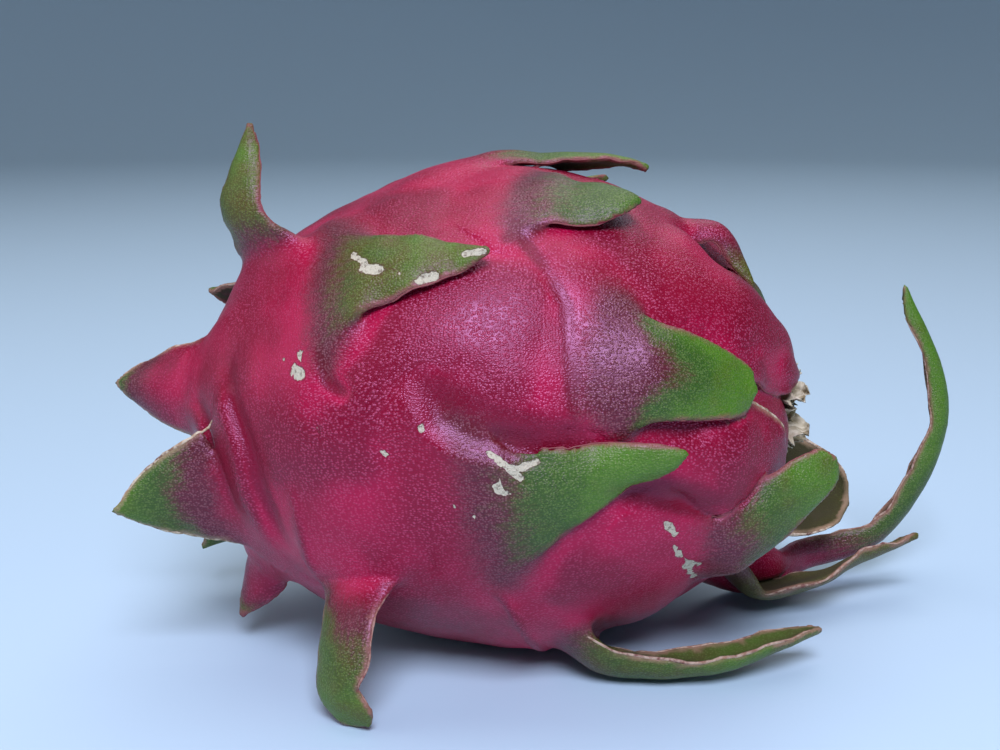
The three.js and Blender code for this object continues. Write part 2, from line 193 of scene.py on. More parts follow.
def creaseDepth(along, around):  # how deep the valleys between the scales' bases are, and how far in one, which places painted shade in the valleys
    depth, inside = np.zeros(along.shape), np.zeros(along.shape)
    for deepest, width, points in fruitForm["creases"]:
        middle = points[len(points) // 2][1]
        turn = middle + (around - middle + 180) % 360 - 180
        nearest, share = np.full(along.shape, 1e9), np.zeros(along.shape)
        steps = len(points) - 1
        for k in range(steps):
            (ax, ay), (bx, by) = points[k], points[k + 1]
            ay, by = (middle + (a - middle + 180) % 360 - 180 for a in (ay, by))
            bx, by = bx - ax, math.radians(by - ay) * bodyRadius
            px, py = along - ax, np.radians(turn - ay) * bodyRadius
            t = np.clip((px * bx + py * by) / (bx**2 + by**2), 0, 1)
            away = (px - t * bx) ** 2 + (py - t * by) ** 2
            closer = away < nearest
            nearest = np.where(closer, away, nearest)
            share = np.where(closer, (k + t) / steps, share)
        here = np.exp(-nearest / width**2) * np.clip(4 * share * (1 - share), 0, 1) ** 0.6
        depth += deepest * here
        if deepest > 0:
            inside = np.maximum(inside, here)
    return depth, inside


def skinAt(along, around):  # a point of the skin and its outward normal
    along, around = np.asarray(along, float), np.asarray(around, float)
    radius = bodyRadius * np.sqrt(np.clip(1 - (along / halfLength) ** 2, 0, 1))
    turn = np.radians(around)
    outward = np.stack([np.zeros_like(turn), -np.sin(turn), np.cos(turn)], -1)
    point = outward * radius[..., None] + np.stack([along, 0 * along, 0 * along + axisHeight], -1)
    normal = outward * (radius / bodyRadius**2)[..., None]
    normal[..., 0] += along / halfLength**2
    normal = unit(normal)
    return point + normal * reliefOf(along, around)[..., None], normal


def hollowDepth(hollow, radius):
    share = np.clip(radius / hollow[0], 0, 1)
    return hollow[1] * (1 - share**2) ** 2


def bodyDistance(points):  # signed distance to the body's skin, good near the skin
    x, y, z = points[:, 0], points[:, 1], points[:, 2] - axisHeight
    radius = np.hypot(y, z)
    size = np.sqrt((x / halfLength) ** 2 + (radius / bodyRadius) ** 2) + 1e-6
    slope = np.sqrt((x / halfLength**2) ** 2 + (radius / bodyRadius**2) ** 2) + 1e-6
    distance = size * (size - 1) / slope
    distance -= reliefOf(x, aroundOf(y, z))
    endOn = np.abs(x / halfLength**2) / slope
    distance += endOn * hollowDepth(fruitForm["stemHollow"], radius) * (x < 0)
    distance += endOn * hollowDepth(fruitForm["flowerHollow"], radius) * (x > 0)
    return distance


class Value:  # a node's output, on which +, - and * add maths nodes
    def __init__(self, socket):
        self.socket = socket

    def __add__(self, other):
        return calc("ADD", self, other)

    def __sub__(self, other):
        return calc("SUBTRACT", self, other)

    def __rsub__(self, other):
        return calc("SUBTRACT", other, self)

    def __mul__(self, other):
        return calc("MULTIPLY", self, other)

    def __rmul__(self, other):
        return calc("MULTIPLY", other, self)


# a new node with its settings made and its inputs set or linked, by name or, as i0 and so on, by place
def addNode(tree, kind, settings=None, **inputs):
    node = tree.nodes.new(kind)
    for key, value in (settings or {}).items():
        setattr(node, key, value)
    for key, value in inputs.items():
        socket = node.inputs[int(key[1:])] if key[0] == "i" and key[1:].isdigit() else node.inputs[key]
        if isinstance(value, Value):
            tree.links.new(value.socket, socket)
        else:
            socket.default_value = value
    return node


def fromNode(tree, kind, settings=None, output=0, **inputs):  # one output of a new node
    return Value(addNode(tree, kind, settings, **inputs).outputs[output])


def treeOf(*values):  # the tree that the first of these node outputs is in
    return next(value.socket.id_data for value in values if isinstance(value, Value))


def calc(operation, a, b=0.0, c=0.0):  # one maths step on numbers
    return fromNode(treeOf(a, b, c), "ShaderNodeMath", {"operation": operation}, i0=a, i1=b, i2=c)


def calcVector(operation, a, b=(0, 0, 0), scale=None):
    inputs = {"i0": a, "i1": b}
    if scale is not None:
        inputs["i3"] = scale
    output = "Value" if operation in ("DOT_PRODUCT", "LENGTH", "DISTANCE") else "Vector"
    return fromNode(treeOf(a, b), "ShaderNodeVectorMath", {"operation": operation}, output=output, **inputs)


def shownOutput(node, name):  # of the outputs with one name, the one that the node's settings show
    return Value(next(output for output in node.outputs if output.enabled and output.name == name))


def named(tree, name, kind="FLOAT"):
    node = addNode(tree, "GeometryNodeInputNamedAttribute", {"data_type": kind}, Name=name)
    return shownOutput(node, "Attribute")


def namedVector(tree, name):
    return named(tree, name, "FLOAT_VECTOR")


def stored(geometry, name, value, kind="FLOAT"):
    return fromNode(treeOf(geometry), "GeometryNodeStoreNamedAttribute", {"data_type": kind},
                    Geometry=geometry, Name=name, Value=value)


def pushed(geometry, direction, distance):
    return fromNode(treeOf(geometry), "GeometryNodeSetPosition", Geometry=geometry,
                    Offset=calcVector("SCALE", direction, scale=distance))


def waves(position, perMetre, detail, output=0):
    return fromNode(treeOf(position), "ShaderNodeTexNoise", output=output, Vector=position, Scale=perMetre,
                    Detail=detail)


def newTree(name, inputs):  # a tree of Geometry Nodes, its named inputs and its end
    tree = bpy.data.node_groups.new(name, "GeometryNodeTree")
    tree.interface.new_socket(name="Geometry", in_out="INPUT", socket_type="NodeSocketGeometry")
    for label, kind, value in inputs:
        socket = tree.interface.new_socket(name=label, in_out="INPUT", socket_type=kind)
        if value is not None:
            socket.default_value = value
    tree.interface.new_socket(name="Geometry", in_out="OUTPUT", socket_type="NodeSocketGeometry")
    source = tree.nodes.new("NodeGroupInput")
    given = {output.name: Value(output) for output in source.outputs if output.name}
    return tree, given, tree.nodes.new("NodeGroupOutput")


def closeTree(tree, geometry, given, result):  # leaves real geometry with its material
    geometry = fromNode(tree, "GeometryNodeRealizeInstances", Geometry=geometry)
    geometry = fromNode(tree, "GeometryNodeSetMaterial", Geometry=geometry, Material=given["Material"])
    tree.links.new(geometry.socket, result.inputs[0])
    return tree


def growMesh(source, tree, values, name):  # runs a tree on an object and keeps the result as a plain mesh
    modifier = source.modifiers.new(tree.name, "NODES")
    modifier.node_group = tree
    for item in tree.interface.items_tree:
        if item.in_out == "INPUT" and item.name in values:
            modifier[item.identifier] = values[item.name]
    source.update_tag()
    bpy.context.view_layer.update()
    made = bpy.data.meshes.new_from_object(source.evaluated_get(bpy.context.evaluated_depsgraph_get()))
    source.modifiers.remove(modifier)
    made.name = name
    return made


def meshFrom(name, points, faces=(), edges=()):
    mesh = bpy.data.meshes.new(name)
    mesh.from_pydata([tuple(p) for p in points], list(edges), list(faces))
    mesh.update()
    return mesh


def addObject(name, mesh):
    made = bpy.data.objects.new(name, mesh)
    bpy.context.scene.collection.objects.link(made)
    return made


def storeOn(mesh, name, values, kind="FLOAT"):
    layer = mesh.attributes.new(name, kind, "POINT")
    layer.data.foreach_set("vector" if kind == "FLOAT_VECTOR" else "value",
                           np.asarray(values, np.float32).ravel())


def readVectors(items, key):
    values = np.empty(len(items) * 3, np.float32)
    items.foreach_get(key, values)
    return values.reshape(-1, 3)


def smoothShade(mesh):
    mesh.polygons.foreach_set("use_smooth", [True] * len(mesh.polygons))


def readFrom(mesh, name):
    values = np.empty(len(mesh.vertices), np.float32)
    mesh.attributes[name].data.foreach_get("value", values)
    return values


# each scale has a midrib, and Geometry Nodes sweep a sheet along it

def catmullRom(points, count):  # a centripetal curve through the points
    points = [2 * points[0] - points[1], *points, 2 * points[-1] - points[-2]]
    samples = []
    for k in range(1, len(points) - 2):
        p = points[k - 1:k + 3]
        d = [max(np.linalg.norm(p[j + 1] - p[j]) ** 0.5, 1e-4) for j in range(3)]
        leave = (p[1] - p[0]) / d[0] - (p[2] - p[0]) / (d[0] + d[1]) + (p[2] - p[1]) / d[1]
        arrive = (p[2] - p[1]) / d[1] - (p[3] - p[1]) / (d[1] + d[2]) + (p[3] - p[2]) / d[2]
        t = np.linspace(0, 1, count, endpoint=False)[:, None]
        a, b = leave * d[1], arrive * d[1]
        samples.append(p[1] * (1 - 3 * t**2 + 2 * t**3) + p[2] * (3 * t**2 - 2 * t**3)
                       + a * (t - 2 * t**2 + t**3) + b * (t**3 - t**2))
    return np.vstack([*samples, points[-2][None]])


def midribOf(scale):  # stations along a scale: centres, headings and outer faces
    base, normal = skinAt(*scale["root"])
    start = base - normal * rootDepth
    if "tip" in scale:
        end = np.array(scale["tip"], float)
    else:
        point, outward = skinAt(*scale["over"][:2])
        end = point + outward * scale["over"][2]
    via = [np.array(p, float) for p in scale.get("via", [])]
    rise = math.radians(scale["rise"])
    leaving = (via[0] if via else end) - start
    leaving = unit(leaving - normal * (leaving @ normal)) * math.cos(rise) + normal * math.sin(rise)
    if via:
        bend = start + leaving * 0.4 * np.linalg.norm(via[0] - start)
        dense = catmullRom([start, bend, *via, end], 80)
    else:
        straight = end - start
        third = np.linalg.norm(straight) / 3
        ahead = unit(straight)
        outward = unit(normal - ahead * (normal @ ahead))
        curl = math.radians(scale["curl"])
        arriving = ahead * math.cos(curl) + outward * math.sin(curl)
        t = np.linspace(0, 1, 240)[:, None]
        dense = (start * (1 - t) ** 3 + (start + leaving * third) * 3 * t * (1 - t) ** 2
                 + (end - arriving * third) * 3 * t**2 * (1 - t) + end * t**3)
    run = np.r_[0, np.cumsum(np.linalg.norm(np.diff(dense, axis=0), axis=1))]
    s = np.linspace(0, 1, bladeForm["stations"])
    centres = np.stack([np.interp(s * run[-1], run, dense[:, k]) for k in range(3)], -1)
    headings = unit(np.gradient(centres, axis=0))
    faces = []
    face = normal
    for heading in headings:
        face = unit(face - heading * (face @ heading))
        faces.append(face)
    faces = np.array(faces)
    turn = np.radians(scale.get("roll", 0)) * s[:, None]
    faces = faces * np.cos(turn) + np.cross(headings, faces) * np.sin(turn)
    return s, centres, headings, faces


def midribMesh():
    columns = {key: [] for key in (
        "point", "face", "sideways", "along", "half", "bend", "middle", "edge", "lift", "which", "sunk")}
    edges = []
    for index, scale in enumerate(scales):
        s, centres, headings, faces = midribOf(scale)
        blade = np.clip(1 - s**2.4, 0, 1) ** scale["point"]
        wide, reach = scale.get("slim", (scale["wide"], bladeForm["flareReach"]))
        spread = np.clip(1 - s / reach, 0, 1) ** 2
        half = np.maximum((wide * blade + (scale["flare"] - wide) * spread) / 2, 0.35)
        leaving = smoothStep(0, bladeForm["flareReach"], s)
        first = len(columns["along"])
        edges += [(first + k, first + k + 1) for k in range(len(s) - 1)]
        columns["point"] += list(centres * mm)
        columns["face"] += list(faces)
        columns["sideways"] += list(np.cross(headings, faces))
        columns["along"] += list(s)
        columns["half"] += list(half * mm)
        columns["bend"] += list(mix(half / bodyRadius, math.radians(scale["cup"]), leaving))
        thick = mix(bladeForm["rootMiddle"], bladeForm["thickness"], leaving)
        columns["middle"] += list(thick * (1 - bladeForm["thinning"] * s**2) * mm)
        columns["edge"] += list(mix(bladeForm["rootEdge"], bladeForm["edge"], leaving) * mm)
        columns["lift"] += [scale.get("lift", bladeForm["clearance"]) * mm] * len(s)
        columns["sunk"] += list(1 - leaving)
        columns["which"] += [index] * len(s)
    mesh = meshFrom("midribs", columns.pop("point"), edges=edges)
    for key, values in columns.items():
        storeOn(mesh, key, values, "FLOAT_VECTOR" if key in ("face", "sideways") else "FLOAT")
    return mesh


def arcPlace(tree, v):  # where a point of the sheet goes when each cross-section bends to an arc
    half, bend = named(tree, "half"), named(tree, "bend")
    angle, radius = bend * v, calc("DIVIDE", half, bend)
    outward = radius * (calc("COSINE", angle) - 1.0)
    sideways = radius * calc("SINE", angle)
    outward = calcVector("SCALE", namedVector(tree, "face"), scale=outward)
    sideways = calcVector("SCALE", namedVector(tree, "sideways"), scale=sideways)
    return calcVector("ADD", calcVector("ADD", namedVector(tree, "centre"), outward), sideways)


def liftedClear(tree, sheet, body, height):  # pushes the sheet out until it stands that high on the skin
    position = fromNode(tree, "GeometryNodeInputPosition")
    facing = fromNode(tree, "GeometryNodeInputNormal")
    for _ in range(2):
        near = fromNode(tree, "GeometryNodeProximity", {"target_element": "FACES"}, output="Position",
                        Geometry=body)
        skin = addNode(tree, "GeometryNodeSampleNearestSurface", {"data_type": "FLOAT_VECTOR"}, Mesh=body,
                       Value=facing)
        outward = shownOutput(skin, "Value")
        above = calcVector("SUBTRACT", position, near)
        above = calcVector("DOT_PRODUCT", above, outward)
        sheet = pushed(sheet, outward, calc("MAXIMUM", height - above, 0.0))
    return sheet


def rippled(tree, sheet, v, ripple):  # waves the free part of the sheet, most at its edges
    position = fromNode(tree, "GeometryNodeInputPosition")
    wave = (waves(position, 130.0, 1.0) - 0.5) * ripple * (1.0 - named(tree, "sunk"))
    return pushed(sheet, namedVector(tree, "face"), wave * (v * v * 2.4 + 0.6))


def scaleSheetTree():  # sweeps a line of cross-sections along each midrib
    tree, given, result = newTree("scaleSheets", [
        ("Ribs", "NodeSocketInt", 15), ("Body", "NodeSocketObject", None),
        ("Root Depth", "NodeSocketFloat", 0.0), ("Ripple", "NodeSocketFloat", 0.0),
        ("Material", "NodeSocketMaterial", None)])
    ribs = fromNode(tree, "GeometryNodeCurvePrimitiveLine", Start=(-1, 0, 0), End=(1, 0, 0))
    ribs = fromNode(tree, "GeometryNodeResampleCurve", Curve=ribs, Count=given["Ribs"])
    position = fromNode(tree, "GeometryNodeInputPosition")
    across = fromNode(tree, "ShaderNodeSeparateXYZ", Vector=position)
    ribs = stored(ribs, "across", across)
    lines = fromNode(tree, "GeometryNodeMeshToCurve", Mesh=given["Geometry"])
    lines = stored(lines, "centre", position, "FLOAT_VECTOR")
    sheet = fromNode(tree, "GeometryNodeCurveToMesh", **{"Curve": lines, "Profile Curve": ribs})
    v = named(tree, "across")
    sheet = fromNode(tree, "GeometryNodeSetPosition", Geometry=sheet, Position=arcPlace(tree, v))
    thick = fromNode(tree, "ShaderNodeMix", Factor=v * v, i2=named(tree, "middle"), i3=named(tree, "edge"))
    sheet = stored(sheet, "depth", 0.5 * thick)  # half the thickness
    free = named(tree, "depth") + named(tree, "lift")
    height = fromNode(tree, "ShaderNodeMix", Factor=named(tree, "sunk"), i2=free, i3=given["Root Depth"])
    body = fromNode(tree, "GeometryNodeObjectInfo", output="Geometry", Object=given["Body"])
    sheet = liftedClear(tree, sheet, body, height)
    return closeTree(tree, rippled(tree, sheet, v, given["Ripple"]), given, result)


def bodyMesh(rows=90, columns=120):  # a plain mesh of the body's skin, which the sheets keep clear of
    tilt = np.linspace(0, np.pi, rows + 1)[1:-1]
    around = np.arange(columns) * 360 / columns
    along, turn = np.meshgrid(-halfLength * np.cos(tilt), around, indexing="ij")
    points = skinAt(along, turn)[0].reshape(-1, 3)
    points = np.vstack([points, [[-halfLength, 0, axisHeight], [halfLength, 0, axisHeight]]]) * mm
    faces = []
    for i in range(rows - 2):
        for j in range(columns):
            k = (j + 1) % columns
            faces.append((i * columns + j, i * columns + k, (i + 1) * columns + k, (i + 1) * columns + j))
    last = (rows - 2) * columns
    for j in range(columns):
        k = (j + 1) % columns
        faces.append((len(points) - 2, k, j))
        faces.append((len(points) - 1, last + j, last + k))
    return meshFrom("bodyForm", points, faces)


def sweepSheets():
    form = addObject("bodyForm", bodyMesh())
    ribs = addObject("midribs", midribMesh())
    sheets = growMesh(ribs, scaleSheetTree(), {
        "Ribs": bladeForm["ribs"], "Body": form, "Ripple": bladeForm["ripple"] * mm,
        "Root Depth": -rootDepth * mm}, "scaleSheets")
    for made in (form, ribs):
        bpy.data.objects.remove(made)
    sheets.calc_loop_triangles()
    corners = np.empty(len(sheets.loop_triangles) * 3, np.int32)
    sheets.loop_triangles.foreach_get("vertices", corners)
    values = np.stack([readFrom(sheets, key) for key in ("depth", "along", "across", "which", "sunk")], -1)
    values[:, 0] /= mm
    return {"points": readVectors(sheets.vertices, "co") / mm, "corners": corners.reshape(-1, 3),
            "values": values, "facing": readVectors(sheets.attributes["face"].data, "vector")}


def nearestOnSheets(sheets, points):  # how far the nearest sheet is, on which side, and its values there
    tree = BVHTree.FromPolygons(sheets["points"].tolist(), sheets["corners"].tolist())
    places = np.zeros((len(points), 3))
    faces = np.zeros(len(points), np.int64)
    for k, point in enumerate(points.tolist()):
        places[k], _, faces[k], _ = tree.find_nearest(point)
    corners = sheets["corners"][faces]
    a, b, c = (sheets["points"][corners[:, k]].astype(float) for k in range(3))
    ab, ac, ap = b - a, c - a, places - a
    d00, d01, d11 = (ab * ab).sum(1), (ab * ac).sum(1), (ac * ac).sum(1)
    d20, d21 = (ap * ab).sum(1), (ap * ac).sum(1)
    whole = np.maximum(d00 * d11 - d01 * d01, 1e-12)
    second = np.clip((d11 * d20 - d01 * d21) / whole, 0, 1)
    third = np.clip((d00 * d21 - d01 * d20) / whole, 0, 1)
    shares = np.stack([1 - second - third, second, third], -1)
    values = (sheets["values"][corners] * shares[..., None]).sum(1)
    facing = (sheets["facing"][corners] * shares[..., None]).sum(1)
    offset = points - places
    return SimpleNamespace(
        away=np.linalg.norm(offset, axis=1), side=(offset * facing).sum(1), depth=values[:, 0],
        along=values[:, 1], across=values[:, 2], which=np.round(values[:, 3]).astype(int))


# the body and the scales flow into each other in one field of distances

fieldForm = {
    "voxel": 0.55, "low": (-76.0, -54.0, -2.2), "high": (101.0, 54.0, 101.0), "clip": 3.0,
    "bodyBand": (0.72, 1.14), "bandRadius": 50,  # where the body's distance is exact, in shares of its size
    "spare": 1.2, "buried": -1.4,  # how far past a scale it is looked for, and how deep in the body
    "weld": 4.5, "weldEnd": 0.35, "weldSpan": (0.42, 0.12), "weldReach": 0.85,
    "creaseBand": (0.74, 1.12), "creaseReach": 4, "creaseFade": (3.6, 2.2), "creaseRadius": 44,
}


def within(values, limits):
    return (values > limits[0]) & (values < limits[1])


def cellsNearScales(sheets, shape):  # the cells that a scale may reach
    near = np.zeros(shape, bool)
    cells = np.round((sheets["points"] - np.array(fieldForm["low"])) / fieldForm["voxel"]).astype(int)
    welded = fieldForm["weld"] * fieldForm["weldReach"] * sheets["values"][:, 4]
    reach = sheets["values"][:, 0] + fieldForm["spare"] + welded
    reach = np.ceil(reach / fieldForm["voxel"]).astype(int)
    for (i, j, k), r in zip(cells.tolist(), reach.tolist()):
        near[max(i - r, 0):i + r + 1, max(j - r, 0):j + r + 1, max(k - r, 0):k + r + 1] = True
    return near


def weldScales(field, axes, sheets):
    cells = np.nonzero(cellsNearScales(sheets, field.shape) & (field > fieldForm["buried"]))
    points = np.stack([axes[k][cells[k]] for k in range(3)], -1)
    print("cells near a scale:", len(points))
    near = nearestOnSheets(sheets, points)
    blade, body = near.away - near.depth, field[cells].astype(float)
    weld = mix(fieldForm["weldEnd"], fieldForm["weld"], smoothStep(*fieldForm["weldSpan"], near.along))
    blend = np.clip(1 - np.abs(body - blade) / weld, 0, 1)
    field[cells] = np.minimum(body, blade) - blend**2 * weld / 4


def pressCreases(field, axes, size):
    cells = np.nonzero((np.abs(field) < fieldForm["creaseReach"]) & within(size, fieldForm["creaseBand"]))
    x, y, z = (axes[k][cells[k]] for k in range(3))
    valley, _ = creaseDepth(x, aroundOf(y, z - axisHeight))
    outside = np.abs((size[cells] - 1) * fieldForm["creaseRadius"])
    field[cells] += valley * smoothStep(*fieldForm["creaseFade"], outside)


def fieldOfPeel(sheets):
    low, step = np.array(fieldForm["low"]), fieldForm["voxel"]
    shape = np.ceil((np.array(fieldForm["high"]) - low) / step).astype(int)
    axes = [low[k] + step * np.arange(shape[k]) for k in range(3)]
    x, y, z = np.meshgrid(*axes, indexing="ij", sparse=True)
    size = np.sqrt((x / halfLength) ** 2 + (y**2 + (z - axisHeight) ** 2) / bodyRadius**2)
    field = ((size - 1) * fieldForm["bandRadius"]).astype(np.float32)
    band = np.nonzero(within(size, fieldForm["bodyBand"]))
    field[band] = bodyDistance(np.stack([axes[k][band[k]] for k in range(3)], -1))
    weldScales(field, axes, sheets)
    pressCreases(field, axes, size)
    return np.maximum(field, -z.astype(np.float32))  # nothing is left under the floor


def peelMesh(sheets):
    clip = fieldForm["clip"]
    grid = openvdb.FloatGrid(clip)
    grid.copyFromArray(np.clip(fieldOfPeel(sheets), -clip, clip))
    points, triangles, quads = grid.convertToPolygons(isovalue=0.0, adaptivity=0.0)
    print("peel before thinning:", len(points), len(quads), len(triangles))
    points = points * fieldForm["voxel"] + np.array(fieldForm["low"])
    return meshFromArrays("peel", points * mm, quads, triangles)


def meshFromArrays(name, points, quads, triangles):
    mesh = bpy.data.meshes.new(name)
    quads, triangles = quads[:, ::-1], triangles[:, ::-1]
    mesh.vertices.add(len(points))
    mesh.vertices.foreach_set("co", np.asarray(points, np.float32).ravel())
    corners = np.concatenate([quads.ravel(), triangles.ravel()]).astype(np.int32)
    mesh.loops.add(len(corners))
    mesh.loops.foreach_set("vertex_index", corners)
    counts = np.concatenate([np.full(len(quads), 4), np.full(len(triangles), 3)])
    mesh.polygons.add(len(counts))
    mesh.polygons.foreach_set("loop_start", np.concatenate([[0], np.cumsum(counts)[:-1]]).astype(np.int32))
    mesh.update(calc_edges=True)
    mesh.validate()
    return mesh


def thinned(mesh, triangles):  # brings a mesh under a count of triangles
    made = addObject("thinned", mesh)
    count = sum(len(p.vertices) - 2 for p in mesh.polygons)
    modifier = made.modifiers.new("thin", "DECIMATE")
    modifier.ratio = min(1, triangles / count)
    result = bpy.data.meshes.new_from_object(made.evaluated_get(bpy.context.evaluated_depsgraph_get()))
    bpy.data.objects.remove(made)
    bpy.data.meshes.remove(mesh)
    return result


def pointsOf(mesh):
    return readVectors(mesh.vertices, "co").astype(float)


def normalsOf(mesh):
    return readVectors(mesh.vertices, "normal").astype(float)


def settle(mesh, points):  # puts the vertices in place, none of them under the floor
    points[:, 2] = np.maximum(points[:, 2], 0)
    mesh.vertices.foreach_set("co", (points * mm).astype(np.float32).ravel())
    mesh.update()


def neighboursOf(mesh):  # the edges of a mesh, and how many of them meet at each vertex
    edges = np.empty(len(mesh.edges) * 2, np.int32)
    mesh.edges.foreach_get("vertices", edges)
    counts = np.maximum(np.bincount(edges, minlength=len(mesh.vertices)), 1)
    return edges.reshape(-1, 2), counts


def neighbourMean(values, neighbours, rounds):  # evens values out over a mesh, a ring further each round
    edges, counts = neighbours
    for _ in range(rounds):
        total = np.zeros_like(values)
        for k in range(values.shape[1]):
            total[:, k] = (np.bincount(edges[:, 0], values[edges[:, 1], k], len(values))
                           + np.bincount(edges[:, 1], values[edges[:, 0], k], len(values)))
        values = total / counts[:, None]
    return values


peelLook = {
    "triangles": 192000, "softening": 18, "rootRounds": 14, "rootShare": 0.8, "foldKept": 0.6,
    "scarHeight": 0.3, "scarLeast": 0.42, "stubRadius": 4.6, "stubEdge": 0.5, "stubHeight": 1.3,
    "stubEnd": -45,
    "scars": [  # corky spots and healed cuts: radius, side (-1 front), then x and z of the places each joins
        (1.1, -1, [(-22, 75.5), (-19.5, 75)]), (0.65, -1, [(-24.5, 77), (-22, 76)]), (0.6, -1, [(-16, 75)]),
        (0.9, -1, [(-12.5, 74), (-10.5, 74.5)]), (0.6, -1, [(-5.5, 78), (-2.5, 78.5)]),
        (1.0, -1, [(-33.5, 58.5), (-32.5, 58)]), (0.6, -1, [(-33, 61)]), (0.55, -1, [(-35.5, 60)]),
        (0.55, -1, [(-29.5, 50.5), (-29, 49.5)]), (0.7, -1, [(-19, 48.5)]), (0.6, -1, [(-18, 46.5)]),
        (0.6, -1, [(-15, 45.5)]), (0.65, -1, [(-12.5, 51.5)]),
        (0.65, -1, [(-1.5, 47.5), (1, 46), (3.5, 44)]), (0.6, -1, [(3, 45.5), (4.5, 46), (6, 46.5)]),
        (0.6, -1, [(-0.5, 44), (-0.5, 42), (1.5, 41.5)]), (0.7, -1, [(-7.5, 39)]), (0.6, -1, [(-4, 37)]),
        (0.65, -1, [(28, 33.5), (29.5, 31.5)]), (0.6, -1, [(30, 28.5), (31, 26), (32.5, 24)]),
        (0.6, -1, [(32, 25), (34.5, 23.5)]), (0.6, -1, [(32.5, 23.5), (34, 20)]),
        (2.2, 1, [(10, 52)]), (1.4, 1, [(-25, 64)]), (1.6, 1, [(30, 38)]), (1.2, 1, [(-41, 60), (-40, 62)]),
    ],
}


def distanceToPath(points, path):
    path = np.array(path, float)
    if len(path) == 1:
        return np.linalg.norm(points - path[0], axis=1)
    nearest = np.full(len(points), 1e9)
    for a, b in zip(path, path[1:]):
        t = np.clip((points - a) @ (b - a) / ((b - a) @ (b - a)), 0, 1)[:, None]
        nearest = np.minimum(nearest, np.linalg.norm(points - a - t * (b - a), axis=1))
    return nearest


def perScale(near, key, usual):  # one of the values of the scale that is nearest to each place
    return np.array([scale.get(key, usual) for scale in scales], float)[near.which]


def scarsOn(mesh, points):  # how near each vertex is to a corky mark: 1 on its middle line
    scar = np.full(len(points), -1.0)
    tree = BVHTree.FromPolygons(points.tolist(), [list(p.vertices) for p in mesh.polygons])
    for radius, facing, places in peelLook["scars"]:
        path = [tree.ray_cast(Vector((x, 200 * facing, z)), Vector((0, -facing, 0)))[0] for x, z in places]
        wide = 2 * max(radius, peelLook["scarLeast"])
        scar = np.maximum(scar, 1 - distanceToPath(points, path) / wide)
    return scar


def stalkOn(points):  # 1 on the corky stub in the stem end's hollow
    fromAxis = np.hypot(points[:, 1], points[:, 2] - axisHeight)
    radius, edge = peelLook["stubRadius"], peelLook["stubEdge"]
    return smoothStep(radius + edge, radius - edge, fromAxis) * (points[:, 0] < peelLook["stubEnd"])


def reliefLift(points, calm, scar, stalk):  # soft unevenness, raised marks and the stub
    spots = points.tolist()
    lift = np.array([noise.noise(Vector(p) * 0.07) * 0.5 + noise.noise(Vector(p) * 0.22) * 0.16
                     + noise.noise(Vector((p[0] * 0.3, p[1] * 0.9, p[2] * 0.9))) * 0.05 for p in spots])
    rough = np.array([noise.noise(Vector(p) * 1.1) for p in spots])
    lift *= calm
    lift += peelLook["scarHeight"] * smoothStep(0.35, 0.6, scar + 0.15 * rough)
    lift += stalk * (peelLook["stubHeight"] + 0.5 * rough)
    return lift


def sinkRoots(mesh, points, rooted, neighbours):  # evens out the roots, and tells where that fills a valley, which is where painted shade goes
    mean = neighbourMean(points, neighbours, peelLook["rootRounds"])
    points = mix(points, mean, peelLook["rootShare"] * rooted[:, None])
    settle(mesh, points)
    sunkenShade = ((mean - points) * normalsOf(mesh)).sum(1)[:, None]
    return points, neighbourMean(sunkenShade, neighbours, 3)[:, 0]


def tonesOf(near, ownSurface, onSheet, neighbours):  # how ripe, how blushed and how olive the skin is
    t = near.along + perScale(near, "edge", 0.14) * near.across**2 * smoothStep(0.1, 0.4, near.along)
    t += perScale(near, "skew", 0) * near.across
    close = smoothStep(4.5, 0.5, near.away - near.depth)
    onBlade = mix(close, ownSurface, smoothStep(0.12, 0.35, near.along))
    ripe = (t - perScale(near, "green", 0.5)) / perScale(near, "span", 0.25)
    ripe = mix(-3, np.clip(ripe, -3, 3), onBlade)
    start = perScale(near, "blush", 0.1)
    blush = smoothStep(start, start + 0.25, t + 0.12 * onSheet) * onBlade
    tones = np.stack([ripe, blush, perScale(near, "olive", 0.2) * onBlade], 1)
    return onBlade, neighbourMean(tones, neighbours, peelLook["softening"]).T


